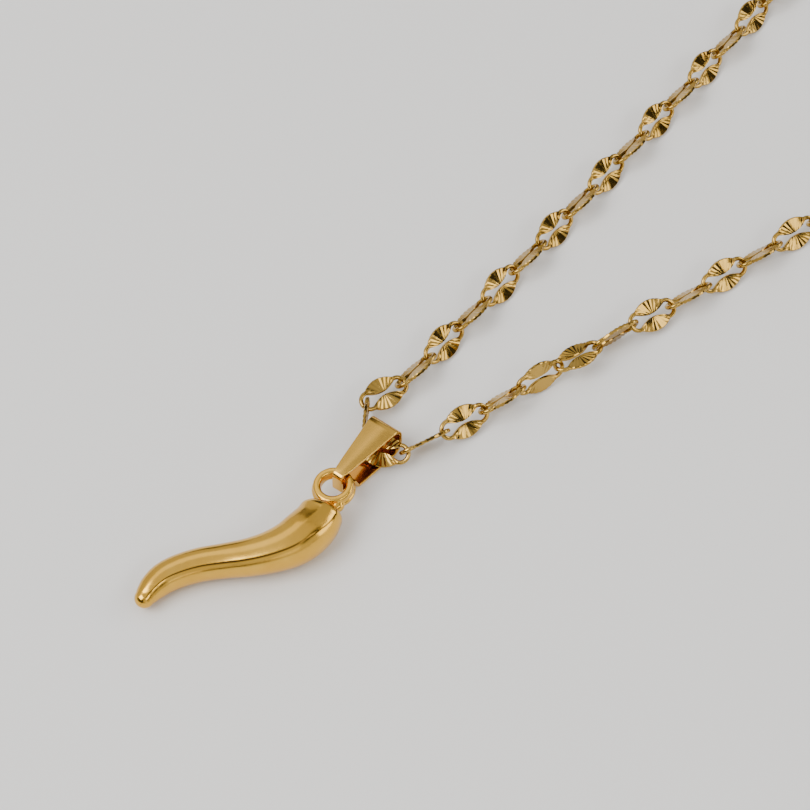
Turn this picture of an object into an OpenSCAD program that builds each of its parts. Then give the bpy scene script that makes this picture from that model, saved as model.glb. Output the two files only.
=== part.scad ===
// Cornicello horn pendant on a starburst link chain, lying on a flat surface.
// Millimetres, +Z up. +Y runs from the pendant to the clasp along the necklace.
// The origin is the middle of the whole necklace's box, on the surface it lies on.

/* [Necklace] */
// Length of the fastened necklace, clasp included
neck_l = 450; // [420:5:500]
// Angle of each strand's far run to the necklace's middle line
spread = 9.4; // [9.0:0.1:9.8]

/* [Chain link] */
// Distance from one link's joint to the next
pitch = 4.0; // [3.9:0.02:4.1]
// Widest place of a link, across its two pads
link_w = 2.86; // [2.7:0.02:2.96]
// Outer width of the round wire loop at each end of a link
loop_w = 1.9; // [1.8:0.02:2.0]
// Round wire of the end loops
wire_d = 0.4; // [0.36:0.01:0.42]
// Thickness of the flattened pads
pad_t = 0.34; // [0.28:0.01:0.36]
// Length of a pad from tip to tip
pad_l = 3.3; // [3.1:0.05:3.4]
// Slot between the two pads at the link's middle
slot_w = 0.24; // [0.2:0.01:0.3]
// Length of straight wire between an end loop and its pad
stub_l = 0.35; // [0.3:0.01:0.4]
// Clear gap between two linked wires
link_gap = 0.2; // [0.18:0.01:0.22]

/* [Horn] */
// Tip to the middle of the cast loop
horn_l = 19; // [17:0.5:22]
// Thickness of the body at its fattest place
horn_d = 4.3; // [3.9:0.1:4.7]
// How far the body swings to one side of the line from tip to loop
horn_sway = 2.8; // [2.3:0.1:3.3]

/* [Cast loop] */
// Outer diameter of the loop cast on the horn
ring_d = 3.4; // [3.25:0.05:3.5]
// Hole through the loop
ring_hole = 2.15; // [2.05:0.05:2.25]
// Thickness of the loop along its hole
ring_t = 1.1; // [1.0:0.05:1.2]
// Rounding of the loop's rims
ring_round = 0.2; // [0.1:0.05:0.25]

/* [Bail] */
// Middle of the cast loop to the outside of the fold
bail_l = 7.85; // [7.7:0.05:8.7]
// Width of the strap at the fold
bail_w = 3.0; // [2.8:0.1:3.2]
// Width of the strap where it crosses the cast loop
bail_neck_w = 1.4; // [1.2:0.1:1.5]
// Width of the strap inside the cast loop's hole
tongue_w = 1.0; // [0.8:0.05:1.0]
// Height of the folded strap at the fold
bail_h = 3.2; // [3.1:0.05:3.4]
// Thickness of the strap
strap_t = 0.3; // [0.25:0.01:0.34]
// Bend radius of the fold, to the middle of the strap
fold_r = 0.95; // [0.7:0.05:1.0]
// Bend radius at the cast loop, to the middle of the strap
neck_r = 0.35; // [0.3:0.05:0.4]
// Gap between the strap and the cast loop
bail_clear = 0.4; // [0.38:0.01:0.46]

/* [Clasp] */
// Joint to joint length of the clasp
clasp_l = 9; // [8:0.5:11]
// Diameter of the clasp's barrel
clasp_d = 2.2; // [1.8:0.1:2.2]
// Wire of the clasp's two eyes
eye_wire = 0.6; // [0.5:0.02:0.6]
// Outer diameter of each eye
eye_d = 2.3; // [2.2:0.05:2.5]

/* [Hidden] */
$fn = 32;
// Number of sides on the largest arcs and holes
fine = 96;

gold = [0.86, 0.68, 0.36];
pale_gold = [0.90, 0.76, 0.46];

// Where things lie on the surface, before the whole is centred on the origin:
// the outside of the bail's fold, the bail's heading, and how the horn lies.
mouth = [-0.8, -0.11];
bail_turn = 100.5;
horn_turn = 77;
horn_pitch = 3.9;
horn_roll = 0;

// Sections of the horn from tip to loop. Columns: share of horn_l along,
// share of horn_sway aside, share of horn_d thick.
HORN = [
    [0.03, -0.25, 0.39], [0.055, -0.16, 0.47], [0.095, -0.05, 0.56], [0.155, 0.03, 0.63],
    [0.23, -0.01, 0.66], [0.32, -0.17, 0.68], [0.415, -0.44, 0.70], [0.51, -0.72, 0.76],
    [0.60, -0.91, 0.84], [0.69, -1.0, 0.94], [0.765, -0.95, 1.0], [0.835, -0.80, 0.98],
    [0.89, -0.57, 0.89], [0.92, -0.42, 0.81]
];
ALONG = 0;
ASIDE = 1;
THICK = 2;
horn_sides = 24;
rings_per_row = 3;
dome_rings = 5;
// Depth of the domed ends as shares of their radius
tip_dome = 1.0;
top_dome = 0.4;

// The chain's chosen places. A link row holds the link's two ends and its roll
// about its own length; a place is x, y and how high above the chain's own height.
// Links through the bail and next to it, from strand A's side to strand B's.
NEAR_LINKS = [
    [[-3.7, 4.25, 0.1], [-4.1, 8.0, 0], -45],
    [[-4.15, 0.4, 0.5], [-3.7, 4.3, 0.1], 20],
    [[-1.55, -2.35, 0.5], [-3.9, 0.35, 0.5], 90],
    [[-1.65, -3.05, 0.2], [2.05, -0.6, 0.2], 30],
    [[1.7, -0.65, 0.4], [2.6, 3.35, 0.3], -60]
];
// Route of each strand from there on, to the start of its straight far run.
STRAND_A = [[-4.1, 8.0, 0], [-5.1, 16, 0], [-6.15, 23.9, 0], [-7.35, 31.9, 0], [-9.75, 47.7, 0]];
STRAND_B = [
    [2.6, 3.3, 0.3], [3.3, 7.25, 0.2], [3.8, 11.2, 0.25], [4.55, 15.1, 0.3],
    [5.25, 19.05, 0.3], [5.9, 23.0, 0.35], [6.65, 26.95, 0.05], [9.1, 43, 0]
];
// Rolls of the first links of each strand; after them the rolls alternate.
ROLLS_A = [45, -45];
ROLLS_B = [45, -44, 68, -15, 104, 32, -45];
roll = 45;
// Where the strands' straight runs would meet, behind the bail, and the length
// by which the path through the bail is longer than those straight runs.
apex_y = -12.1;
mouth_y = -1.7;
detour = 2.4;

// Link sizes that follow
loop_r = (loop_w - wire_d) / 2;
loop_x = (pitch + wire_d + link_gap) / 2 - loop_r;
outer_rise = link_w / 2 - loop_r;
inner_rise = loop_r - slot_w / 2;
outer_r = arc_radius(pad_l / 2, outer_rise);
inner_r = arc_radius(pad_l / 2, inner_rise);
chain_z = link_w / 2 * sin(roll) + pad_t / 2 * cos(roll);

function arc_radius(half_chord, rise) = (half_chord * half_chord + rise * rise) / (2 * rise);

// Necklace loop: straight far runs, then an arc round to the clasp
neck_r_out = (neck_l / 2 - detour + (mouth_y - apex_y) / cos(spread))
    / (1 / tan(spread) + (90 + spread) * PI / 180);
neck_y = apex_y + neck_r_out / sin(spread);
clasp_angle = asin(clasp_l / 2 / neck_r_out);
arc_steps = 48;

// side is 1 for strand B, on +X, and -1 for strand A
function far_run(side) = [
    for (k = [0:arc_steps])
        let (a = -spread + k * (90 - clasp_angle + spread) / arc_steps)
        [side * neck_r_out * cos(a), neck_y + neck_r_out * sin(a), 0]
];

// Smooth curve through chosen points: each span is a cubic whose end slopes are
// half the step between the neighbouring points.
function at(p, i) = p[max(0, min(len(p) - 1, i))];
function slope(p, i) = (at(p, i + 1) - at(p, i - 1)) / (i == 0 || i == len(p) - 1 ? 1 : 2);
function cubic(a, b, da, db, t) =
    a * (1 + t * t * (2 * t - 3)) + b * t * t * (3 - 2 * t)
    + da * t * (1 - t) * (1 - t) - db * t * t * (1 - t);
function smooth(p, steps) = [
    for (i = [0:len(p) - 2], k = [0:steps - 1])
        cubic(p[i], p[i + 1], slope(p, i), slope(p, i + 1), k / steps),
    p[len(p) - 1]
];

// Equal steps along a path: each coordinate is looked up against the length so far
function lengths(q, i = 0, sum = 0) =
    i == len(q) - 1 ? [sum] : concat([sum], lengths(q, i + 1, sum + norm(q[i + 1] - q[i])));
function column(q, s, c) = [for (i = [0:len(q) - 1]) [s[i], q[i][c]]];
function walk(q) =
    let (
        s = lengths(q),
        whole = s[len(s) - 1],
        count = round(whole / pitch),
        xs = column(q, s, 0), ys = column(q, s, 1), zs = column(q, s, 2)
    )
    [for (k = [0:count]) let (d = k * whole / count) [lookup(d, xs), lookup(d, ys), lookup(d, zs)]];

path_steps = 10;
joints_a = walk(concat(smooth(STRAND_A, path_steps), far_run(-1)));
joints_b = walk(concat(smooth(STRAND_B, path_steps), far_run(1)));

// The first rolls come from the list, and later ones keep alternating from its last
function roll_at(rolls, i) =
    i < len(rolls) ? rolls[i] : rolls[len(rolls) - 1] * ((i - len(rolls)) % 2 == 0 ? -1 : 1);
function strand_links(joints, rolls) =
    [for (i = [0:len(joints) - 2]) [joints[i], joints[i + 1], roll_at(rolls, i)]];
// The left strand takes the near links up to the one in the bail
bail_link = 3;
LINKS_LEFT = concat(
    [for (i = [0:bail_link]) NEAR_LINKS[i]], strand_links(joints_a, ROLLS_A)
);
LINKS_RIGHT = concat(
    [for (i = [bail_link + 1:len(NEAR_LINKS) - 1]) NEAR_LINKS[i]], strand_links(joints_b, ROLLS_B)
);
LINKS = concat(LINKS_LEFT, LINKS_RIGHT);

// Horn centre line: the table's rows joined by the same smooth curve
function horn_row(row) = [row[ALONG] * horn_l, row[ASIDE] * horn_sway, row[THICK] * horn_d / 2];
horn_line = smooth([for (row = HORN) horn_row(row)], rings_per_row);
horn_last = len(horn_line) - 1;
function flat(p) = [p[0], p[1], 0];
function unit(v) = v / norm(v);
function horn_dir(i) = unit(flat(at(horn_line, i + 1)) - flat(at(horn_line, i - 1)));

// One ring of the body: centre, direction, radius
function horn_ring(centre, dir, r) = [
    for (k = [0:horn_sides - 1])
        let (a = 360 * k / horn_sides)
        centre + r * (cos(a) * [-dir[1], dir[0], 0] + sin(a) * [0, 0, 1])
];
// A domed end: rings that shrink along a quarter ellipse; depth is negative at the tip
function dome(i, depth, order) = [
    for (k = order)
        let (a = 90 * k / dome_rings, r = horn_line[i][2])
        horn_ring(flat(horn_line[i]) + depth * r * sin(a) * horn_dir(i), horn_dir(i), r * cos(a))
];
horn_rings = concat(
    dome(0, -tip_dome, [dome_rings - 1:-1:1]),
    [for (i = [0:horn_last]) horn_ring(flat(horn_line[i]), horn_dir(i), horn_line[i][2])],
    dome(horn_last, top_dome, [1:dome_rings - 1])
);
horn_tip = flat(horn_line[0]) - tip_dome * horn_line[0][2] * horn_dir(0);
horn_top = flat(horn_line[horn_last]) + top_dome * horn_line[horn_last][2] * horn_dir(horn_last);
horn_points = concat([horn_tip], [for (ring = horn_rings) each ring], [horn_top]);
horn_faces =
    let (n = horn_sides, m = len(horn_rings), last = m * n + 1)
    concat(
        [for (k = [0:n - 1]) [0, 1 + k, 1 + (k + 1) % n]],
        [
            for (j = [0:m - 2], k = [0:n - 1])
                let (a = 1 + j * n + k, b = 1 + j * n + (k + 1) % n)
                each [[a, b + n, b], [a, a + n, b + n]]
        ],
        [for (k = [0:n - 1]) [last, 1 + (m - 1) * n + (k + 1) % n, 1 + (m - 1) * n + k]]
    );

// The horn as it lies: the loop's middle is the turning point, and the lowest
// point of the body touches the surface.
function turned(p) =
    let (
        y1 = p[1] * cos(horn_roll) - p[2] * sin(horn_roll),
        z1 = p[1] * sin(horn_roll) + p[2] * cos(horn_roll),
        x2 = p[0] * cos(horn_pitch) - z1 * sin(horn_pitch),
        z2 = p[0] * sin(horn_pitch) + z1 * cos(horn_pitch)
    )
    [x2 * cos(horn_turn) - y1 * sin(horn_turn), x2 * sin(horn_turn) + y1 * cos(horn_turn), z2];
horn_placed = [for (p = horn_points) turned(p - [horn_l, 0, 0])];
ring_z = -min([for (p = horn_placed) p[2]]);
ring_xy = mouth - bail_l * [cos(bail_turn), sin(bail_turn)];

// Side profile of the bail: corners of the strap's middle line and their bend
// radii, in distance from the cast loop's middle and height.
strap_half = strap_t / 2;
ring_gap = ring_t / 2 + bail_clear + strap_half;
// Gap between the tongue's corners and the wall of the loop's hole
tongue_gap = 0.2;
tongue_u = sqrt(pow(ring_hole / 2 - tongue_gap, 2) - pow(tongue_w / 2, 2)) - strap_half;
// The lower leg turns up off the surface here, and reaches the loop's height here
foot_u = 2.55;
riser_u = 2.1;
bail_corners = [
    [bail_l - strap_half, bail_h - strap_half], [bail_l - strap_half, strap_half],
    [foot_u, strap_half], [riser_u, ring_z - ring_gap],
    [tongue_u, ring_z - ring_gap], [tongue_u, ring_z + ring_gap]
];
bail_bends = [fold_r, fold_r, neck_r, neck_r, neck_r, neck_r];
bend_steps = 8;

// Rounded corner b between a and c: an arc of radius r that touches both sides
function rounded(a, b, c, r) =
    let (
        u = unit(a - b), v = unit(c - b),
        half = acos(u * v) / 2,
        hub = b + unit(u + v) * r / sin(half),
        first = b + u * r / tan(half) - hub,
        last = b + v * r / tan(half) - hub,
        swing = 180 - 2 * half,
        way = first[0] * last[1] - first[1] * last[0] > 0 ? 1 : -1
    )
    [
        for (k = [0:bend_steps])
            let (t = way * swing * k / bend_steps)
            hub + [first[0] * cos(t) - first[1] * sin(t), first[0] * sin(t) + first[1] * cos(t)]
    ];
bail_path = [
    for (i = [0:len(bail_corners) - 1])
        let (n = len(bail_corners))
        each rounded(
            bail_corners[(i + n - 1) % n], bail_corners[i], bail_corners[(i + 1) % n], bail_bends[i]
        )
];
// The closed path moved sideways by d, outwards where d is positive
function beside(p, d) = [
    for (i = [0:len(p) - 1])
        let (n = len(p), v = unit(p[(i + 1) % n] - p[(i + n - 1) % n]))
        p[i] + d * [-v[1], v[0]]
];

// Strap width: straight taper from fold to neck, then the narrow tongue. The
// outline runs past both ends of the strap by this much.
past = 1;
function taper(u) = (bail_neck_w + (bail_w - bail_neck_w) * (u - ring_d / 2) / (bail_l - ring_d / 2)) / 2;
bail_outline = [
    [tongue_u - past, tongue_w / 2], [tongue_u + strap_half, tongue_w / 2],
    [ring_d / 2, taper(ring_d / 2)], [bail_l + past, taper(bail_l + past)]
];
bail_outline_back = [for (i = [len(bail_outline) - 1:-1:0]) [bail_outline[i][0], -bail_outline[i][1]]];

// Clasp sizes that follow; each eye is sunk in the barrel past this share of its radius
eye_seat = 0.85;
eye_r = (eye_d - eye_wire) / 2;
eye_x = clasp_l / 2 + eye_wire / 2 + link_gap / 2 - eye_r;
barrel_l = 2 * (eye_x - eye_seat * eye_r);
clasp_round = 0.5;

// Centre of the whole necklace's box
extents = concat(
    [for (link = LINKS, p = [link[0], link[1]]) [p[0], p[1]]],
    [for (p = horn_placed) ring_xy + [p[0], p[1]]]
);
half_thick = chain_z;
low = [
    min([for (link = LINKS) min(link[0][0], link[1][0])]) - half_thick,
    min([for (p = horn_placed) p[1]]) + ring_xy[1]
];
high = [
    max([for (link = LINKS) max(link[0][0], link[1][0])]) + half_thick,
    neck_y + neck_r_out * cos(clasp_angle) + max(half_thick, clasp_d / 2)
];
centre = (low + high) / 2;

// One starburst link along X, lying flat: a round wire loop at each end and two
// flat pads, each the shape between two arcs, with a slot between them.
module link() {
    for (end = [0, 180])
        rotate(end) {
            translate([loop_x, 0, 0])
                rotate(-90)
                    rotate_extrude(angle = 180)
                        translate([loop_r, 0]) circle(d = wire_d);
            for (side = [-1, 1])
                translate([loop_x - stub_l, side * loop_r, 0])
                    rotate([0, 90, 0]) cylinder(d = wire_d, h = stub_l);
        }
    for (side = [-1, 1])
        linear_extrude(pad_t, center = true)
            intersection() {
                translate([0, side * (link_w / 2 - outer_r)]) circle(r = outer_r, $fn = fine);
                translate([0, side * (slot_w / 2 + inner_r)]) circle(r = inner_r, $fn = fine);
            }
}

// Carries a piece that lies along X to the span between two places
module along(a, b, turn) {
    run = b - a;
    translate([(a[0] + b[0]) / 2, (a[1] + b[1]) / 2, chain_z + (a[2] + b[2]) / 2])
        rotate([turn, -asin(run[2] / norm(run)), atan2(run[1], run[0])])
            children();
}

module strand(links) {
    color(gold)
        translate([-centre[0], -centre[1], 0])
            for (place = links) along(place[0], place[1], place[2]) link();
}

module chain_left() { strand(LINKS_LEFT); }
module chain_right() { strand(LINKS_RIGHT); }

// One plain barrel with a wire eye at each end, each square to the link it holds
module clasp() {
    end_a = joints_a[len(joints_a) - 1];
    end_b = joints_b[len(joints_b) - 1];
    turn_a = roll_at(ROLLS_A, len(joints_a) - 2);
    turn_b = roll_at(ROLLS_B, len(joints_b) - 2);
    color(gold)
        translate([-centre[0], -centre[1], 0])
            along(end_a, end_b, 0) {
                rotate([0, 90, 0])
                    rotate_extrude() barrel_half();
                for (end = [[-1, turn_a], [1, turn_b]])
                    translate([end[0] * eye_x, 0, 0])
                        rotate([end[0] * -end[1] + 90, 0, 0])
                            rotate_extrude() translate([eye_r, 0]) circle(d = eye_wire);
            }
}

module barrel_half() {
    translate([0, -barrel_l / 2 + clasp_round]) square([clasp_d / 2, barrel_l - 2 * clasp_round]);
    translate([0, -barrel_l / 2]) square([clasp_d / 2 - clasp_round, barrel_l]);
    for (side = [-1, 1])
        translate([clasp_d / 2 - clasp_round, side * (barrel_l / 2 - clasp_round)])
            circle(r = clasp_round);
}

// Section of the cast loop's rim, with rounded corners
module rim_section() {
    inner = ring_hole / 2 - ring_round;
    outer = ring_d / 2;
    translate([inner, -ring_t / 2 + ring_round]) square([outer - inner, ring_t - 2 * ring_round]);
    translate([inner, -ring_t / 2]) square([outer - inner - ring_round, ring_t]);
    for (side = [-1, 1])
        translate([outer - ring_round, side * (ring_t / 2 - ring_round)]) circle(r = ring_round);
}

module horn() {
    color(gold)
        translate([ring_xy[0] - centre[0], ring_xy[1] - centre[1], ring_z])
            rotate([horn_roll, -horn_pitch, horn_turn])
                difference() {
                    union() {
                        translate([-horn_l, 0, 0]) polyhedron(points = horn_points, faces = horn_faces);
                        rotate_extrude($fn = fine) rim_section();
                    }
                    cylinder(d = ring_hole, h = 3 * horn_d, center = true, $fn = fine);
                }
}

module bail() {
    color(pale_gold)
        translate([ring_xy[0] - centre[0], ring_xy[1] - centre[1], 0])
            rotate(bail_turn)
                intersection() {
                    rotate([90, 0, 0])
                        linear_extrude(2 * bail_w, center = true)
                            difference() {
                                polygon(beside(bail_path, strap_half));
                                polygon(beside(bail_path, -strap_half));
                            }
                    linear_extrude(4 * bail_h, center = true)
                        polygon(concat(bail_outline, bail_outline_back));
                }
}

horn();
bail();
chain_left();
chain_right();
clasp();
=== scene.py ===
"""Horn pendant on a starburst link chain, lying on a pale floor.

Run as a script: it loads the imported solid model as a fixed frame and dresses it.
Lengths are in metres and angles in degrees, in the frame's own axes.
"""

import math

import bpy
import numpy as np
from bpy.props import FloatProperty, FloatVectorProperty, PointerProperty
from bpy.types import Operator, Panel, PropertyGroup
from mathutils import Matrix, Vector
from mathutils.kdtree import KDTree


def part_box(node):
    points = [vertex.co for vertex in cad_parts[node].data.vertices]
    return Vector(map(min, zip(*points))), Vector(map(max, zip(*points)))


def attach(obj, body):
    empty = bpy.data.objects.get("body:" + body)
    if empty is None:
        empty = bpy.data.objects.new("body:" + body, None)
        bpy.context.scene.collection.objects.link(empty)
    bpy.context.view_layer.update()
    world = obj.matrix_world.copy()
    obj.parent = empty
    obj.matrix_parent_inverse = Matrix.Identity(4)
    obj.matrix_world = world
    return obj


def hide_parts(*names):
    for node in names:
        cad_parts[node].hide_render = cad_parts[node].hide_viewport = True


bl_info = {
    "name": "Horn pendant",
    "version": (1, 0, 0),
    "blender": (4, 5, 0),
    "location": "3D View > Sidebar > Pendant",
    "description": "Dresses the solid model of a horn pendant and its starburst chain",
    "category": "Add Mesh",
}

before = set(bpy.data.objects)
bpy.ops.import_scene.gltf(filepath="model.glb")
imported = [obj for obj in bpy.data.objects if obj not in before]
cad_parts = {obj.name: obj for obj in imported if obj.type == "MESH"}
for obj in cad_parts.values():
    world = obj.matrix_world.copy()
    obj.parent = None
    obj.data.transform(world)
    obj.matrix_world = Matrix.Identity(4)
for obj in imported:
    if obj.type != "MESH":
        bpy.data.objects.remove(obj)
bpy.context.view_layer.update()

MM = 0.001

# How the pendant lies: the middle of the cast loop, the headings of the horn and
# of the bail, and the horn's tilt on the floor.
LOOP_CENTRE = np.array([0.635, -95.5905, 2.4528]) * MM
HORN_TURN = 77.0
HORN_PITCH = 3.9
BAIL_TURN = 100.5

# What the camera and the soft boxes face, and the camera's place
AIM = Vector((-2.496, -84.262, 0)) * MM
CAMERA = Vector((104.21, -187.307, 211.85)) * MM

# Sections of the horn from tip to loop, as shares of its length, sway and thickness
ALONG, ASIDE, THICK = range(3)
HORN_SECTIONS = [
    [0.03, -0.25, 0.39], [0.055, -0.16, 0.47], [0.095, -0.05, 0.56], [0.155, 0.03, 0.63],
    [0.23, -0.01, 0.66], [0.32, -0.17, 0.68], [0.415, -0.44, 0.70], [0.51, -0.72, 0.76],
    [0.60, -0.91, 0.84], [0.69, -1.0, 0.94], [0.765, -0.95, 1.0], [0.835, -0.80, 0.98],
    [0.89, -0.57, 0.89], [0.92, -0.42, 0.81],
]
TIP_DOME = 1.0
TOP_DOME = 0.62
# Crease along the horn: share of the length, angle from the top towards the camera's
# side, how far it stands out as a share of the section's radius, and half the width in
# millimetres of the painted dark line that lies in it, a dark reflection painted into the colour
CREASE = np.array([
    [0.03, 28, 0.0, 0.01], [0.06, 30, 0.05, 0.04], [0.2, 34, 0.07, 0.06], [0.45, 36, 0.06, 0.085],
    [0.7, 36, 0.09, 0.07], [0.8, 38, 0.1, 0.06], [0.87, 46, 0.07, 0.05], [0.91, 56, 0.0, 0.01],
])
# Degrees over which the crease falls off by e, towards the top and down the other side
CREASE_FALL = [42, 25]
# Share of the crease's height by which the rest of its section sinks
CREASE_SINK = 0.35
# Shares of the length where the horn's top starts to come down to the loop, and its end
SHOULDER = [0.74, 0.88]
# How far the top comes down there, as a share of the radius
SHOULDER_DROP = 0.16
# Radii and middle of the lump beside the cast loop, from the loop's middle
LUMP_RADII = np.array([0.62, 0.5, 0.5]) * MM
LUMP_MIDDLE = np.array([-0.62, -1.68, -0.22]) * MM

# Turns of the clasp's two eyes about the barrel, each square to the link that it holds
EYE_TURNS = [45, 135]

# Soft boxes: name, heading, angle above the floor, distance, width, height, level, tone
WARM = (1, 0.985, 0.96)
PLAIN = (1, 0.995, 0.99)
SOFT_BOXES = [
    ("overhead", 198, 82, 0.6, 0.8, 0.84, 0.66, PLAIN),
    ("far", 192, 36, 0.95, 1.7, 1.3, 0.58, PLAIN),
    ("side", 101, 32, 1.0, 0.86, 0.85, 0.5, PLAIN),
    ("front_left", -32, 28, 0.9, 0.66, 0.65, 0.6, WARM),
    ("front", 8, 42, 0.9, 0.56, 0.25, 3.2, WARM),
    ("front_right", 62, 30, 0.9, 0.5, 0.32, 3.4, WARM),
    ("front_low", 38, 10, 0.9, 0.45, 0.22, 2.2, WARM),
    ("low", 10, 9, 1.3, 2.6, 0.36, 0.6, PLAIN),
    ("near_fill", -105, 50, 0.7, 0.5, 0.45, 5.0, PLAIN),
]


# Surfaces as whole arrays

def turn_matrix(roll, pitch, turn):
    """Rotation about X by roll, then about Y by pitch, then about Z by turn, in degrees."""
    (ca, sa), (cb, sb), (cc, sc) = (
        (math.cos(math.radians(a)), math.sin(math.radians(a))) for a in (roll, pitch, turn)
    )
    about_x = np.array([[1, 0, 0], [0, ca, -sa], [0, sa, ca]])
    about_y = np.array([[cb, 0, sb], [0, 1, 0], [-sb, 0, cb]])
    about_z = np.array([[cc, -sc, 0], [sc, cc, 0], [0, 0, 1]])
    return about_z @ about_y @ about_x


def smooth_rows(rows, steps):
    """Joins rows by cubics whose end slopes are half the step between the neighbouring rows."""
    rows = np.asarray(rows, float)
    slopes = np.gradient(rows, axis=0)
    t = (np.arange(steps) / steps)[None, :, None]
    a, b = rows[:-1, None], rows[1:, None]
    da, db = slopes[:-1, None], slopes[1:, None]
    spans = (
        a * (1 + t * t * (2 * t - 3)) + b * t * t * (3 - 2 * t)
        + da * t * (1 - t) ** 2 - db * t * t * (1 - t)
    )
    return np.vstack([spans.reshape(-1, rows.shape[1]), rows[-1:]])


def unit(v):
    return v / np.linalg.norm(v, axis=-1, keepdims=True)


def swept(centres, across, up, section):
    """Points of a section carried along a path: centre + u * across + v * up, where
    section holds the (u, v) of every point of every ring."""
    points = (
        centres[:, None] + section[..., 0, None] * across[:, None] + section[..., 1, None] * up[:, None]
    )
    return points.reshape(-1, 3)


def ring_faces(rings, sides, closed):
    """Four-cornered faces between rings of points; closed joins the last ring to the first."""
    i = np.arange(rings if closed else rings - 1)[:, None]
    j = np.arange(sides)[None]
    after_i, after_j = (i + 1) % rings, (j + 1) % sides
    corners = [i * sides + j, i * sides + after_j, after_i * sides + after_j, after_i * sides + j]
    return np.stack(corners, -1).reshape(-1, 4)


def pole_faces(pole, ring_start, sides):
    """Triangles that close a ring of points to one pole."""
    j = np.arange(sides)
    return np.stack([np.full(sides, pole), ring_start + j, ring_start + (j + 1) % sides], -1)


def rounded_box(half_u, half_v, radius, steps):
    """Points round a rectangle with rounded corners: at each corner a quarter circle."""
    a = np.radians(np.linspace(0, 90, steps + 1))
    arc = radius * np.stack([np.cos(a), np.sin(a)], -1)
    corner = np.array([half_u - radius, half_v - radius])
    quarters = [
        arc + corner,
        arc[::-1] * [-1, 1] + corner * [-1, 1],
        -arc - corner,
        arc[::-1] * [1, -1] + corner * [1, -1],
    ]
    return np.vstack(quarters)


def joined(*shells):
    """Several (points, faces) as one, where faces is a list of index arrays."""
    points, faces, start = [], [], 0
    for shell_points, shell_faces in shells:
        points.append(shell_points)
        faces += [part + start for part in shell_faces]
        start += len(shell_points)
    return np.vstack(points), faces


def facing_out(points, faces):
    """Turns a closed shell's faces round if the volume that they enclose is negative."""
    volume = 0.0
    for part in faces:
        a = points[part[:, 0]]
        for k in range(1, part.shape[1] - 1):
            volume += np.sum(a * np.cross(points[part[:, k]], points[part[:, k + 1]]))
    return faces if volume > 0 else [part[:, ::-1] for part in faces]


def new_mesh(name, points, faces, flat=None):
    """Mesh from arrays, shaded smooth except where flat, one value a face, is true."""
    mesh = bpy.data.meshes.new(name)
    mesh.from_pydata(points.tolist(), [], [row for part in faces for row in part.tolist()])
    smooth = np.ones(len(mesh.polygons), bool) if flat is None else ~flat
    mesh.polygons.foreach_set("use_smooth", smooth)
    mesh.validate()
    mesh.update()
    return mesh


def set_painted_shade(mesh, values):
    """Stores how much painted shade darkens the gold at each of a mesh's points, from 0 to 1."""
    mesh.attributes.new("dull", "FLOAT", "POINT").data.foreach_set("value", values)


def add_piece(name, mesh, material, nodes):
    """Puts a finished mesh in the scene in place of the solids that it stands for."""
    piece = bpy.data.objects.new(name, mesh)
    bpy.context.scene.collection.objects.link(piece)
    mesh.materials.append(material)
    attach(piece, "root")
    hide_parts(*nodes)
    return piece


# Materials

class Value:
    """A socket of a material; arithmetic on it adds Math nodes to that material."""

    def __init__(self, finish, socket):
        self.finish = finish
        self.socket = socket

    def math(self, operation, first, second):
        return self.finish.node("ShaderNodeMath", {"operation": operation}, {0: first, 1: second})

    def __add__(self, other):
        return self.math("ADD", self, other)

    def __mul__(self, other):
        return self.math("MULTIPLY", self, other)

    __radd__ = __add__
    __rmul__ = __mul__


class Finish:
    """A material being made, with one method that adds any node."""

    def __init__(self, name):
        self.material = bpy.data.materials.new(name)
        self.material.use_nodes = True
        self.tree = self.material.node_tree
        self.shader = self.tree.nodes["Principled BSDF"]

    def node(self, kind, settings=None, inputs=None, output=0):
        """Adds a node, makes its settings, then sets or links its inputs."""
        made = self.tree.nodes.new(kind)
        for key, value in (settings or {}).items():
            if key == "stops":
                self.set_stops(made.color_ramp.elements, value)
            else:
                setattr(made, key, value)
        for key, value in (inputs or {}).items():
            self.connect(made.inputs[key], value)
        return Value(self, made.outputs[output])

    def set_stops(self, elements, stops):
        while len(elements) < len(stops):
            elements.new(1.0)
        for element, (position, level) in zip(elements, stops):
            element.position = position
            element.color = (level, level, level, 1)

    def connect(self, socket, value):
        if isinstance(value, Value):
            self.tree.links.new(value.socket, socket)
        else:
            socket.default_value = value

    def surface(self, **inputs):
        """Sets or links the shader's own sockets; an underscore stands for a space."""
        for key, value in inputs.items():
            self.connect(self.shader.inputs[key.replace("_", " ")], value)

    def place(self, turn=0.0, stretch=(1, 1, 1)):
        """Object coordinates turned about Z and stretched."""
        spot = self.node("ShaderNodeTexCoord", output="Object")
        turned = self.node(
            "ShaderNodeMapping", {"vector_type": "POINT"},
            {"Vector": spot, "Rotation": (0, 0, -math.radians(turn))},
        )
        return self.node("ShaderNodeVectorMath", {"operation": "MULTIPLY"}, {0: turned, 1: stretch})

    def noise(self, spot, size, detail=2.0):
        """Noise from 0 to 1 whose lumps are about size metres across."""
        return self.node(
            "ShaderNodeTexNoise", {"noise_dimensions": "3D"},
            {"Vector": spot, "Scale": 1 / size, "Detail": detail, "Roughness": 0.55},
        )

    def colour_mix(self, amount, first, second):
        """The first colour where amount is 0 and the second where it is 1."""
        return self.node(
            "ShaderNodeMix", {"data_type": "RGBA", "clamp_factor": True},
            {0: amount, 6: first, 7: second}, output=2,
        )

    def ramp(self, value, stops):
        return self.node("ShaderNodeValToRGB", {"stops": stops}, {"Fac": value})

    def bump(self, height, depth, strength=1.0):
        return self.node(
            "ShaderNodeBump", None, {"Height": height, "Distance": depth, "Strength": strength}
        )


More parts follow.
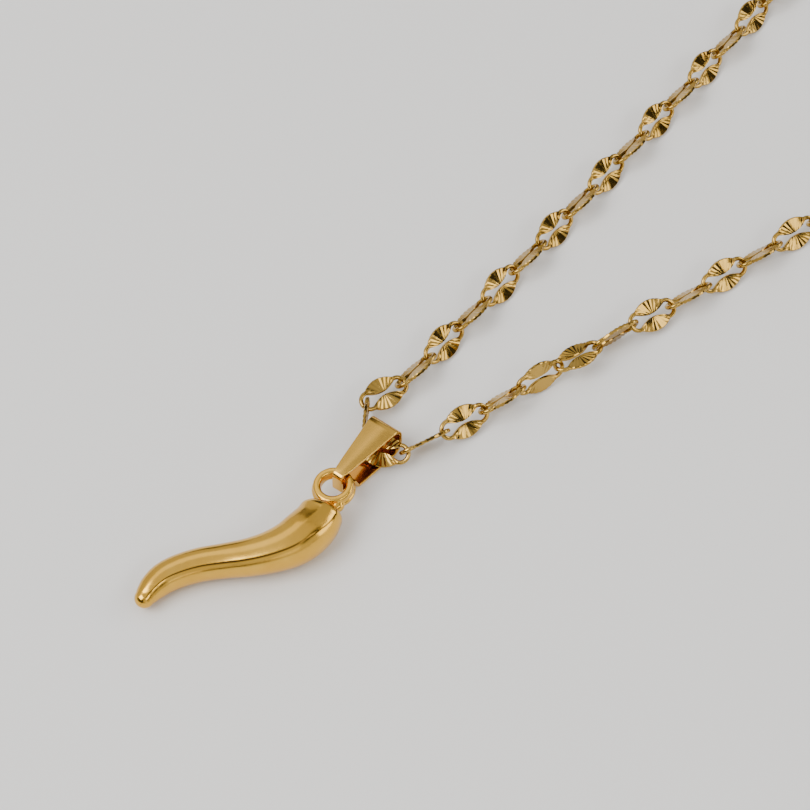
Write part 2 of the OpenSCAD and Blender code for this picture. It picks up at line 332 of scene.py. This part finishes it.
def plated_gold(name, colour, shade, turn, grain, rough, grain_depth, dull=None):
    """Gold plate: slow drifts of tone, a fine grain drawn out along the piece, and
    small spots where the polish is duller. Where the mesh's own dull value is 1, the
    colour is the painted shade colour, which paints shade and dark reflections into the gold."""
    finish = Finish(name)
    even = finish.place()
    drawn = finish.place(turn, (0.22, 1, 1))
    tone = finish.noise(even, 3.1 * MM, 3.0)
    fine = finish.noise(drawn, grain, 4.0)
    spots = finish.ramp(finish.noise(even, 0.45 * MM, 2.0), [(0.52, 0.0), (0.72, 1.0)])
    gold = finish.colour_mix(
        finish.ramp(tone, [(0.35, 0.0), (0.68, 1.0)]), (*colour, 1), (*shade, 1)
    )
    # Painted shade: where the mesh's dull value is high, a darker colour stands in for shade and dark
    # reflections
    if dull:
        share = finish.node("ShaderNodeAttribute", {"attribute_name": "dull"}, output="Fac")
        gold = finish.colour_mix(share, gold, (*dull, 1))
    finish.surface(
        Base_Color=gold,
        Metallic=1.0,
        Roughness=rough + fine * 0.06 + spots * 0.04,
        Normal=finish.bump(fine, grain_depth, 0.6),
    )
    return finish.material


# The solids of the frame

def solid_places(node):
    """Centre and axes of each loose solid of a node: the axes are those of the solid's
    second moments of volume, longest first."""
    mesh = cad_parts[node].data
    points = np.empty(len(mesh.vertices) * 3)
    mesh.vertices.foreach_get("co", points)
    mesh.calc_loop_triangles()
    corners = np.empty(len(mesh.loop_triangles) * 3, int)
    mesh.loop_triangles.foreach_get("vertices", corners)
    places, same = np.unique(np.round(points.reshape(-1, 3), 8), axis=0, return_inverse=True)
    corners = same.ravel()[corners].reshape(-1, 3)
    label = np.arange(len(places))
    while True:
        lowest = label[corners].min(axis=1)
        spread = label.copy()
        np.minimum.at(spread, corners.ravel(), np.repeat(lowest, 3))
        spread = spread[spread]
        if np.array_equal(spread, label):
            break
        label = spread
    owner = label[corners[:, 0]]
    found = []
    for solid in np.unique(owner):
        tri = places[corners[owner == solid]]
        middle = tri.reshape(-1, 3).mean(axis=0)
        tri = tri - middle
        weight = np.einsum("ij,ij->i", tri[:, 0], np.cross(tri[:, 1], tri[:, 2])) / 6
        total = tri.sum(axis=1)
        centre = (weight[:, None] * total).sum(axis=0) / 4 / weight.sum()
        moments = np.einsum("t,tci,tcj->ij", weight, tri, tri)
        moments = (moments + np.einsum("t,ti,tj->ij", weight, total, total)) / 20 / weight.sum()
        moments = moments - np.outer(centre, centre)
        axes = np.linalg.eigh(moments)[1][:, ::-1].T
        axes[2] = np.cross(axes[0], axes[1])
        found.append((middle + centre, axes))
    return found


# Sizes and colours

def length(name, about, default):
    return FloatProperty(name=name, description=about, default=default, min=0, unit="LENGTH", precision=5)


def tint(name, about, default):
    return FloatVectorProperty(
        name=name, description=about, default=default, min=0, max=1, size=3, subtype="COLOR"
    )


class HornSettings(PropertyGroup):
    long: length("Length", "Tip to the middle of the cast loop", 19.0 * MM)
    thick: length("Thickness", "Fattest place of the body", 4.3 * MM)
    sway: length("Sway", "How far the body swings aside", 2.8 * MM)
    loop_outer: length("Loop diameter", "Outside of the cast loop", 3.7 * MM)
    loop_hole: length("Loop hole", "Hole through the cast loop", 2.15 * MM)
    loop_thick: length("Loop thickness", "Cast loop along its hole", 1.1 * MM)
    colour: tint("Gold", "Colour of the horn", (0.76, 0.44, 0.065))
    shade: tint("Deep gold", "Deeper tone of the horn", (0.68, 0.37, 0.045))
    # Painted reflection: the dark line along the crease is painted in this colour, standing in for a dark
    # reflection
    line: tint("Line", "Dark line in the crease", (0.14, 0.07, 0.01))


class BailSettings(PropertyGroup):
    long: length("Length", "Cast loop's middle to the outside of the fold", 7.85 * MM)
    wide: length("Width", "Strap at the fold", 3.0 * MM)
    neck: length("Neck width", "Strap where it crosses the cast loop", 1.4 * MM)
    tongue: length("Tongue width", "Strap inside the loop's hole", 1.0 * MM)
    high: length("Height", "Folded strap at the fold", 3.2 * MM)
    thick: length("Thickness", "Strap", 0.3 * MM)
    edge: length("Edge rounding", "Radius of the strap's edges", 0.11 * MM)
    colour: tint("Gold", "Colour of the bail", (0.80, 0.47, 0.085))
    shade: tint("Deep gold", "Deeper tone of the bail", (0.75, 0.43, 0.075))
    # Painted shade: the strap's inner face gets this darker colour, standing in for the shade inside the
    # fold
    inside: tint("Inside", "Duller inner face of the strap", (0.50, 0.22, 0.035))


class LinkSettings(PropertyGroup):
    loop_middle: length("Loop middle", "Link's middle to the middle of an end loop", 1.55 * MM)
    loop_radius: length("Loop radius", "End loop, to the middle of its wire", 0.75 * MM)
    wire: length("Wire", "Round wire of the end loops", 0.4 * MM)
    wide: length("Width", "Widest place across the two pads", 2.86 * MM)
    pad_long: length("Pad length", "Flattened pad from tip to tip", 3.3 * MM)
    pad_thick: length("Pad thickness", "Flattened pad", 0.34 * MM)
    slot: length("Slot", "Gap between the two pads", 0.24 * MM)
    cut: length("Cut depth", "Depth of the radial cuts at a pad's rim", 0.062 * MM)
    colour: tint("Gold", "Colour of the links", (0.50, 0.31, 0.07))
    shade: tint("Deep gold", "Deeper tone of the links", (0.36, 0.21, 0.035))


class ClaspSettings(PropertyGroup):
    barrel: length("Barrel length", "Barrel from end to end", 6.655 * MM)
    thick: length("Diameter", "Barrel", 2.2 * MM)
    rounding: length("Rounding", "Barrel's rounded ends", 0.5 * MM)
    eye_place: length("Eye place", "Clasp's middle to the middle of an eye", 4.05 * MM)
    eye_radius: length("Eye radius", "Eye, to the middle of its wire", 0.85 * MM)
    eye_wire: length("Eye wire", "Wire of the two eyes", 0.6 * MM)
    colour: tint("Gold", "Colour of the clasp", (0.68, 0.42, 0.09))
    shade: tint("Deep gold", "Deeper tone of the clasp", (0.56, 0.34, 0.06))


class StageSettings(PropertyGroup):
    floor: tint("Floor", "Pale floor", (0.80, 0.79, 0.77))
    world: tint("Surroundings", "Soft light from all round", (0.055, 0.055, 0.06))
    focus: FloatProperty(
        name="Lens", description="Focal length on a sensor 36 mm wide", default=133.33, unit="CAMERA"
    )


# Horn

def horn_body(sizes):
    """Round body: the sections' centres and radii joined by cubics, a circle about each
    centre square to the line, and both ends closed by rings that shrink as a quarter
    ellipse. A crease stands out of each circle by a cusp: on either side of it the radius
    falls off by e for each cusp width. Near the loop the circles flatten from above.
    What would reach the loop's hole is pushed out to just past its wall. Returns points,
    faces and the crease, one row a circle: its place and the half width of the painted dark line in it."""
    sides, dome_rings = 120, 9
    rows = smooth_rows(HORN_SECTIONS, 8)
    rows = rows[rows[:, ALONG] <= SHOULDER[1]]
    centres = np.stack([rows[:, ALONG] * sizes.long, rows[:, ASIDE] * sizes.sway, 0 * rows[:, 0]], -1)
    radii = rows[:, THICK] * sizes.thick / 2
    ahead = unit(np.gradient(centres, axis=0))
    turns = np.radians(np.linspace(9, 81, dome_rings))
    tip = centres[0] - ahead[0] * TIP_DOME * radii[0] * np.sin(turns[::-1, None])
    top = centres[-1] + ahead[-1] * TOP_DOME * radii[-1] * np.sin(turns[:, None])
    centres = np.vstack([tip, centres, top])
    radii = np.concatenate([radii[0] * np.cos(turns[::-1]), radii, radii[-1] * np.cos(turns)])
    rings_like_rows = np.r_[np.zeros(dome_rings, int), np.arange(len(rows)), np.full(dome_rings, -1)]
    ahead = ahead[rings_like_rows]
    share = rows[rings_like_rows, ALONG]
    across = np.stack([-ahead[:, 1], ahead[:, 0], 0 * ahead[:, 0]], -1)
    up = np.tile([0.0, 0.0, 1.0], (len(centres), 1))
    a = np.arange(sides) * 360 / sides
    place = 90 + np.interp(share, CREASE[:, 0], CREASE[:, 1])
    height = np.interp(share, CREASE[:, 0], CREASE[:, 2])
    past = (a[None] - place[:, None] + 180) % 360 - 180
    cusp = np.exp(-np.abs(past) / np.where(past < 0, *CREASE_FALL))
    reach = radii[:, None] * (1 + height[:, None] * (cusp - CREASE_SINK))
    circle = np.stack([np.cos(np.radians(a)), np.sin(np.radians(a))], -1)
    section = reach[..., None] * circle
    fall = np.clip((share - SHOULDER[0]) / (SHOULDER[1] - SHOULDER[0]), 0, 1)
    lower = 1 - SHOULDER_DROP * fall * fall * (3 - 2 * fall)
    section[..., 1] *= np.where(section[..., 1] > 0, lower[:, None], 1)
    points = swept(centres, across, up, section)
    crest = np.stack([np.cos(np.radians(place)), np.sin(np.radians(place)) * lower], -1)
    crest = crest * (radii * (1 + (1 - CREASE_SINK) * height))[:, None]
    line = swept(centres, across, up, crest[:, None]) - [sizes.long, 0, 0]
    line = np.column_stack([line, np.interp(share, CREASE[:, 0], CREASE[:, 3]) * MM])
    past_end = 0.02 * MM
    poles = np.array([centres[0] - ahead[0] * past_end, centres[-1] + ahead[-1] * past_end])
    points = np.vstack([points, poles]) - [sizes.long, 0, 0]
    from_hole = np.maximum(np.linalg.norm(points[:, :2], axis=1), 0.05 * MM)
    wall = sizes.loop_hole / 2 + 0.12 * MM
    points[:, :2] *= np.maximum(1, wall / from_hole)[:, None]
    rings = len(centres)
    faces = [
        ring_faces(rings, sides, False),
        pole_faces(rings * sides, 0, sides)[:, ::-1],
        pole_faces(rings * sides + 1, (rings - 1) * sides, sides),
    ]
    return points, facing_out(points, faces), line


def near_line(mesh, line, scale):
    """For each of a mesh's points a share: 1 on the line, half of it at the line's own
    half width, and 0 beyond one and a half of that. Rows of the line are place and half
    width; places between the rows are filled in evenly."""
    between = np.arange(12)[None, :, None] / 12
    filled = (line[:-1, None] + np.diff(line, axis=0)[:, None] * between).reshape(-1, 4) / scale
    tree = KDTree(len(filled))
    for index, row in enumerate(filled):
        tree.insert(row[:3], index)
    tree.balance()
    found = [tree.find(vertex.co) for vertex in mesh.vertices]
    half_width = filled[[index for place, index, gap in found], 3]
    return np.clip(1.5 - np.array([gap for place, index, gap in found]) / half_width, 0, 1)


def cast_loop(sizes):
    """Loop cast on the horn: its section, carried round a circle, is a wide lower rim
    with a narrower upper rim on it, and all of its corners are cut back."""
    steps = 120
    a = np.radians(np.arange(steps) * 360 / steps)
    outward = np.stack([np.cos(a), np.sin(a), 0 * a], -1)
    inner, outer, half = sizes.loop_hole / 2, sizes.loop_outer / 2, sizes.loop_thick / 2
    corner, step = 0.14 * MM, 0.13 * MM
    section = np.array([
        [inner, -half + corner], [inner + corner, -half], [outer - corner, -half],
        [outer, -half + corner], [outer, -corner], [outer - corner, 0], [outer - step, 0],
        [outer - step, half - corner], [outer - step - corner, half],
        [inner + corner, half], [inner, half - corner],
    ])
    section = np.tile(section, (steps, 1, 1))
    points = swept(0 * outward, outward, np.tile([0.0, 0.0, 1.0], (steps, 1)), section)
    return points, facing_out(points, [ring_faces(steps, section.shape[1], True)])


def lump():
    """Small round lump where the loop's outer wall meets the body's shoulder."""
    rings, sides = 12, 24
    a = np.radians(np.linspace(-84, 84, rings))
    b = np.radians(np.arange(sides) * 360 / sides)
    centres = np.stack([0 * a, 0 * a, np.sin(a)], -1)
    across, along = np.tile([0.0, 1.0, 0.0], (rings, 1)), np.tile([1.0, 0.0, 0.0], (rings, 1))
    section = np.cos(a)[:, None, None] * np.stack([np.cos(b), np.sin(b)], -1)
    points = np.vstack([swept(centres, across, along, section), [[0, 0, -1], [0, 0, 1]]])
    faces = [
        ring_faces(rings, sides, False),
        pole_faces(rings * sides, 0, sides)[:, ::-1],
        pole_faces(rings * sides + 1, (rings - 1) * sides, sides),
    ]
    points = points * LUMP_RADII + LUMP_MIDDLE
    return points, facing_out(points, faces)


def fused(name, points, faces, cell, rounds):
    """Closed shells fused by a fine voxel skin, whose steps are then smoothed away. The
    skin is made a thousand times larger, because its cells have a least size."""
    rough = new_mesh(name + "_shells", points / MM, faces)
    work = bpy.data.objects.new(name + "_work", rough)
    bpy.context.scene.collection.objects.link(work)
    skin = work.modifiers.new("Skin", "REMESH")
    skin.mode = "VOXEL"
    skin.voxel_size = cell / MM
    skin.use_smooth_shade = True
    soften = work.modifiers.new("Soften", "SMOOTH")
    soften.factor = 0.5
    soften.iterations = rounds
    bpy.context.view_layer.update()
    seen = work.evaluated_get(bpy.context.evaluated_depsgraph_get())
    mesh = bpy.data.meshes.new_from_object(seen)
    bpy.data.objects.remove(work)
    bpy.data.meshes.remove(rough)
    mesh.name = name
    return mesh


def move_mesh(mesh, matrix, offset, scale):
    """Turns, scales and shifts all of a mesh's points."""
    points = np.empty(len(mesh.vertices) * 3)
    mesh.vertices.foreach_get("co", points)
    points = points.reshape(-1, 3) * scale @ matrix.T + offset
    mesh.vertices.foreach_set("co", points.ravel())
    mesh.update()


class PENDANT_OT_horn(Operator):
    """Adds the horn and the loop cast on it"""

    bl_idname = "pendant.horn"
    bl_label = "Horn"

    def execute(self, context):
        sizes = context.scene.pendant_horn
        body_points, body_faces, line = horn_body(sizes)
        points, faces = joined((body_points, body_faces), cast_loop(sizes), lump())
        mesh = fused("horn_body", points, faces, cell=0.058 * MM, rounds=5)
        # Paints a dark line along the crease into the colour: a painted dark reflection
        set_painted_shade(mesh, near_line(mesh, line, MM))
        move_mesh(mesh, turn_matrix(0, -HORN_PITCH, HORN_TURN), LOOP_CENTRE, MM)
        gold = plated_gold(
            "horn_gold", sizes.colour, sizes.shade, turn=HORN_TURN,
            grain=0.09 * MM, rough=0.15, grain_depth=0.0014 * MM, dull=sizes.line,
        )
        add_piece("horn_body", mesh, gold, ["horn"])
        return {"FINISHED"}


# Bail

def bail_path(sizes, loop_thick, loop_hole):
    """Middle line of the folded strap, in distance from the loop's middle and height:
    straight runs between corners, each corner rounded by an arc that touches both."""
    clear, tongue_gap = 0.4 * MM, 0.2 * MM
    foot, riser = 2.55 * MM, 2.1 * MM
    half = sizes.thick / 2
    loop_gap = loop_thick / 2 + clear + half
    tongue = math.sqrt((loop_hole / 2 - tongue_gap) ** 2 - (sizes.tongue / 2) ** 2) - half
    low, high = LOOP_CENTRE[2] - loop_gap, LOOP_CENTRE[2] + loop_gap
    corners = np.array([
        [sizes.long - half, sizes.high - half], [sizes.long - half, half], [foot, half],
        [riser, low], [tongue, low], [tongue, high],
    ])
    bends = np.array([0.95, 0.95, 0.35, 0.35, 0.35, 0.35]) * MM
    before, after = np.roll(corners, 1, 0), np.roll(corners, -1, 0)
    u, v = unit(before - corners), unit(after - corners)
    half_angle = np.arccos(np.sum(u * v, -1)) / 2
    hub = corners + unit(u + v) * (bends / np.sin(half_angle))[:, None]
    first = corners + u * (bends / np.tan(half_angle))[:, None] - hub
    last = corners + v * (bends / np.tan(half_angle))[:, None] - hub
    way = np.sign(first[:, 0] * last[:, 1] - first[:, 1] * last[:, 0])
    t = np.linspace(0, 1, 13)[None] * (way * (np.pi - 2 * half_angle))[:, None]
    arcs = np.stack([
        first[:, :1] * np.cos(t) - first[:, 1:] * np.sin(t),
        first[:, :1] * np.sin(t) + first[:, 1:] * np.cos(t),
    ], -1) + hub[:, None]
    return arcs.reshape(-1, 2), tongue


def strap(sizes, loop_outer, loop_thick, loop_hole):
    """Folded strap: a flat section with rounded edges carried round the closed path,
    as wide at each place as the strap's taper gives. Returns points, faces and for each
    point how much painted shade it gets: 1 on the inner face, 0 on the outer face and past the edges."""
    arcs, tongue = bail_path(sizes, loop_thick, loop_hole)
    ends = np.roll(arcs, -1, 0)
    cuts = np.maximum(1, np.ceil(np.linalg.norm(ends - arcs, axis=1) / (0.25 * MM))).astype(int)
    path = np.vstack([a + (b - a) * np.arange(n)[:, None] / n for a, b, n in zip(arcs, ends, cuts)])
    ahead = unit(np.roll(path, -1, 0) - np.roll(path, 1, 0))
    centres = np.stack([path[:, 0], 0 * path[:, 0], path[:, 1]], -1)
    across = np.tile([0.0, 1.0, 0.0], (len(path), 1))
    normal = np.stack([-ahead[:, 1], 0 * ahead[:, 0], ahead[:, 0]], -1)
    stops = np.array([tongue + sizes.thick / 2, loop_outer / 2, sizes.long])
    half_width = np.interp(path[:, 0], stops, np.array([sizes.tongue, sizes.neck, sizes.wide]) / 2)
    corner_steps = 4
    box = rounded_box(0, sizes.thick / 2, sizes.edge, corner_steps)
    corner = np.arange(len(box)) // (corner_steps + 1)
    side = np.where(corner % 3 == 0, 1, -1)
    section = np.tile(box, (len(path), 1, 1))
    section[..., 0] += half_width[:, None] * side
    points = swept(centres, across, normal, section)
    faces = [ring_faces(len(path), len(box), True)]
    points = points @ turn_matrix(0, 0, BAIL_TURN).T + LOOP_CENTRE * [1, 1, 0]
    # Painted shade: 1 on the inner face of the fold, 0 elsewhere
    inner = np.tile(np.clip(-box[:, 1] / (sizes.thick / 2) * 4 - 2.6, 0, 1), len(path))
    return points, facing_out(points, faces), inner


class PENDANT_OT_bail(Operator):
    """Adds the folded strap that joins the horn to the chain"""

    bl_idname = "pendant.bail"
    bl_label = "Bail"

    def execute(self, context):
        sizes = context.scene.pendant_bail
        horn = context.scene.pendant_horn
        points, faces, inner = strap(sizes, horn.loop_outer, horn.loop_thick, horn.loop_hole)
        mesh = new_mesh("bail_strap", points, faces)
        # Painted shade on the strap's inner face
        set_painted_shade(mesh, inner)
        gold = plated_gold(
            "bail_gold", sizes.colour, sizes.shade, turn=BAIL_TURN,
            grain=0.08 * MM, rough=0.13, grain_depth=0.0015 * MM, dull=sizes.inside,
        )
        add_piece("bail_strap", mesh, gold, ["bail"])
        return {"FINISHED"}


# Chain

def starburst_link(sizes):
    """One link along X: a section carried once round the link. Over the pads the section
    is a flat bar from the inner arc to the outer arc, thinned at the rim of every other
    ray; over the end loops it is the round wire. Along the outer arc the rays stand at
    even steps of the arcsine; along the inner arc they gather towards the middle by a
    cubic. Returns points, faces and which are flat."""
    rays, gather = 18, 0.22
    s = np.linspace(-1, 1, rays + 1)
    reach = sizes.loop_middle - 0.05 * MM
    half_pad = sizes.pad_long / 2
    wire = sizes.wire / 2

    def arc_height(x, top, rise, sign):
        radius = (half_pad ** 2 + rise ** 2) / (2 * rise)
        return top - sign * (radius - np.sqrt(radius ** 2 - x ** 2))

    outer_x = reach * np.sin(np.pi / 2 * s)
    inner_x = reach * s * (gather + (1 - gather) * np.abs(s) ** 3)
    outer_rise = sizes.wide / 2 - sizes.loop_radius
    inner_rise = sizes.loop_radius - sizes.slot / 2
    outer_y = np.maximum(arc_height(outer_x, sizes.wide / 2, outer_rise, 1), sizes.loop_radius + wire)
    inner_y = np.minimum(arc_height(inner_x, sizes.slot / 2, inner_rise, -1), sizes.loop_radius - wire)
    pad_in, pad_out = np.stack([inner_x, inner_y], -1), np.stack([outer_x, outer_y], -1)

    steps = 14
    a = np.radians(90 - np.linspace(0, 180, steps + 1))
    hub = np.array([sizes.loop_middle, 0])
    bend = np.stack([np.cos(a), np.sin(a)], -1)
    loop_in, loop_out = hub + bend * (sizes.loop_radius - wire), hub + bend * (sizes.loop_radius + wire)

    inside = np.vstack([pad_in, loop_in, -pad_in, -loop_in])
    outside = np.vstack([pad_out, loop_out, -pad_out, -loop_out])
    on_pad = np.r_[np.ones(rays + 1), np.zeros(steps + 1)]
    on_pad = np.tile(on_pad, 2).astype(bool)
    ends = np.abs(s) == 1
    round_share = np.where(on_pad, np.tile(np.r_[ends, np.ones(steps + 1, bool)], 2), 1).astype(float)
    thick = np.where(round_share > 0, wire, sizes.pad_thick / 2)
    valley = np.tile(np.r_[np.arange(rays + 1) % 2 == 1, np.zeros(steps + 1, bool)], 2)

    bar = np.array([
        [-1, -0.55], [-0.9, -1], [-0.3, -1], [0.3, -1], [0.9, -1], [1, -0.55],
        [1, 0.55], [0.9, 1], [0.3, 1], [-0.3, 1], [-0.9, 1], [-1, 0.55],
    ])
    turn = np.radians([-157.5, -135, -105, -75, -45, -22.5, 22.5, 45, 75, 105, 135, 157.5])
    disc = np.stack([np.cos(turn), np.sin(turn)], -1)
    section = bar + (disc - bar) * round_share[:, None, None]
    cut = np.where(valley, sizes.cut, 0)[:, None] * (1 + section[..., 0]) / 2
    height = section[..., 1] * (thick[:, None] - cut)
    share = (1 + section[..., 0:1]) / 2
    flat_xy = inside[:, None] + (outside - inside)[:, None] * share
    points = np.concatenate([flat_xy, height[..., None]], -1).reshape(-1, 3)
    sides = len(bar)
    faces = ring_faces(len(inside), sides, True)
    flat = np.repeat(on_pad & np.roll(on_pad, -1), sides)
    return points, facing_out(points, [faces])[0], flat


class PENDANT_OT_chain(Operator):
    """Adds the starburst links, one in the place of each solid link of the frame"""

    bl_idname = "pendant.chain"
    bl_label = "Chain"

    def execute(self, context):
        sizes = context.scene.pendant_link
        points, faces, flat = starburst_link(sizes)
        gold = plated_gold(
            "chain_gold", sizes.colour, sizes.shade, turn=0,
            grain=0.08 * MM, rough=0.07, grain_depth=0.0008 * MM,
        )
        for node in ("chain_left", "chain_right"):
            places = solid_places(node)
            links = [points @ axes + centre for centre, axes in places]
            starts = np.arange(len(links))[:, None, None] * len(points)
            mesh = new_mesh(
                node + "_links", np.vstack(links), [(faces[None] + starts).reshape(-1, 4)],
                np.tile(flat, len(links)),
            )
            add_piece(node + "_links", mesh, gold, [node])
        return {"FINISHED"}


# Clasp

def barrel(sizes):
    """Barrel along X: a half outline with rounded ends, turned about the axis."""
    a = np.radians(np.linspace(0, 84, 8))
    end = np.stack([
        sizes.barrel / 2 - sizes.rounding * (1 - np.sin(a)),
        sizes.thick / 2 - sizes.rounding * (1 - np.cos(a)),
    ], -1)
    face = np.array([[sizes.barrel / 2, sizes.thick / 2 - sizes.rounding]])
    half = np.vstack([end, face, face * [1, 0.5]])
    outline = np.vstack([half[::-1] * [-1, 1], half])
    sides = 48
    turn = np.radians(np.arange(sides) * 360 / sides)
    count = len(outline)
    centres = np.stack([outline[:, 0], 0 * outline[:, 0], 0 * outline[:, 0]], -1)
    section = outline[:, 1, None, None] * np.stack([np.cos(turn), np.sin(turn)], -1)
    points = swept(
        centres, np.tile([0.0, 1.0, 0.0], (count, 1)), np.tile([0.0, 0.0, 1.0], (count, 1)), section
    )
    points = np.vstack([points, [[-sizes.barrel / 2, 0, 0], [sizes.barrel / 2, 0, 0]]])
    faces = [
        ring_faces(count, sides, False),
        pole_faces(count * sides, 0, sides)[:, ::-1],
        pole_faces(count * sides + 1, (count - 1) * sides, sides),
    ]
    return points, facing_out(points, faces)


def eye(sizes, end, turn):
    """Wire eye at one end: a circle carried round a circle that is turned about X."""
    steps, sides = 48, 20
    a = np.radians(np.arange(steps) * 360 / steps)
    outward = np.stack([np.cos(a), np.sin(a), 0 * a], -1)
    b = np.radians(np.arange(sides) * 360 / sides)
    section = np.tile(sizes.eye_wire / 2 * np.stack([np.cos(b), np.sin(b)], -1), (steps, 1, 1))
    points = swept(sizes.eye_radius * outward, outward, np.tile([0.0, 0.0, 1.0], (steps, 1)), section)
    points = points @ turn_matrix(turn, 0, 0).T + [end * sizes.eye_place, 0, 0]
    return points, facing_out(points, [ring_faces(steps, sides, True)])


class PENDANT_OT_clasp(Operator):
    """Adds the plain barrel clasp with its two eyes"""

    bl_idname = "pendant.clasp"
    bl_label = "Clasp"

    def execute(self, context):
        sizes = context.scene.pendant_clasp
        low, high = (np.array(corner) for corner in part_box("clasp"))
        eyes = [eye(sizes, end, turn) for end, turn in zip((-1, 1), EYE_TURNS)]
        points, faces = joined(barrel(sizes), *eyes)
        mesh = fused("clasp_barrel", points, faces, cell=0.062 * MM, rounds=6)
        move_mesh(mesh, np.eye(3), (low + high) / 2, MM)
        gold = plated_gold(
            "clasp_gold", sizes.colour, sizes.shade, turn=0,
            grain=0.09 * MM, rough=0.10, grain_depth=0.0015 * MM,
        )
        add_piece("clasp_barrel", mesh, gold, ["clasp"])
        return {"FINISHED"}


# Stage

def soft_box(name, heading, height, distance, wide, tall, level, tone):
    """Soft box that faces the pendant from a heading and an angle above the floor; level
    is the brightness of its face, so its power is four times level times its area."""
    light = bpy.data.lights.new(name, "AREA")
    light.shape = "RECTANGLE"
    light.size = wide
    light.size_y = tall
    light.energy = 4 * level * wide * tall
    light.color = tone
    lamp = bpy.data.objects.new(name, light)
    away = turn_matrix(0, -height, heading) @ [distance, 0, 0]
    lamp.location = Vector(away) + AIM
    lamp.rotation_euler = (math.radians(90 - height), 0, math.radians(90 + heading))
    bpy.context.scene.collection.objects.link(lamp)


class PENDANT_OT_stage(Operator):
    """Adds the pale floor, the soft studio lights and the camera"""

    bl_idname = "pendant.stage"
    bl_label = "Stage"

    def execute(self, context):
        settings = context.scene.pendant_stage
        self.add_floor(settings)
        self.add_lights(settings)
        self.add_camera(settings)
        return {"FINISHED"}

    def add_floor(self, settings):
        half = 1.6
        corners = np.array([[-half, -half, 0], [half, -half, 0], [half, half, 0], [-half, half, 0]])
        floor = bpy.data.objects.new("floor", new_mesh("floor", corners, [np.array([[0, 1, 2, 3]])]))
        floor.location.z = -0.02 * MM
        bpy.context.scene.collection.objects.link(floor)
        paint = Finish("floor_paint")
        paint.surface(Base_Color=(*settings.floor, 1), Roughness=0.62)
        floor.data.materials.append(paint.material)

    def add_lights(self, settings):
        world = bpy.data.worlds.new("studio")
        world.use_nodes = True
        world.node_tree.nodes["Background"].inputs["Color"].default_value = (*settings.world, 1)
        bpy.context.scene.world = world
        for box in SOFT_BOXES:
            soft_box(*box)

    def add_camera(self, settings):
        camera = bpy.data.cameras.new("camera")
        camera.sensor_width = 36
        camera.lens = settings.focus
        holder = bpy.data.objects.new("camera", camera)
        holder.location = CAMERA
        holder.rotation_euler = (AIM - CAMERA).to_track_quat("-Z", "Y").to_euler()
        camera.clip_start = 0.01
        bpy.context.scene.collection.objects.link(holder)
        bpy.context.scene.camera = holder


class PENDANT_PT_panel(Panel):
    bl_idname = "PENDANT_PT_panel"
    bl_label = "Horn pendant"
    bl_space_type = "VIEW_3D"
    bl_region_type = "UI"
    bl_category = "Pendant"

    def draw(self, context):
        for group in SETTINGS:
            box = self.layout.box()
            for prop in group.__annotations__:
                box.prop(getattr(context.scene, SETTINGS[group]), prop)
        for operator in OPERATORS:
            self.layout.operator(operator.bl_idname)


SETTINGS = {
    HornSettings: "pendant_horn",
    BailSettings: "pendant_bail",
    LinkSettings: "pendant_link",
    ClaspSettings: "pendant_clasp",
    StageSettings: "pendant_stage",
}
OPERATORS = [PENDANT_OT_horn, PENDANT_OT_bail, PENDANT_OT_chain, PENDANT_OT_clasp, PENDANT_OT_stage]


def register():
    for group, name in SETTINGS.items():
        bpy.utils.register_class(group)
        setattr(bpy.types.Scene, name, PointerProperty(type=group))
    for kind in [*OPERATORS, PENDANT_PT_panel]:
        bpy.utils.register_class(kind)


def unregister():
    for kind in [PENDANT_PT_panel, *reversed(OPERATORS)]:
        bpy.utils.unregister_class(kind)
    for group, name in SETTINGS.items():
        delattr(bpy.types.Scene, name)
        bpy.utils.unregister_class(group)


def main():
    register()
    bpy.ops.pendant.horn()
    bpy.ops.pendant.bail()
    bpy.ops.pendant.chain()
    bpy.ops.pendant.clasp()
    bpy.ops.pendant.stage()


if __name__ == "__main__":
    main()
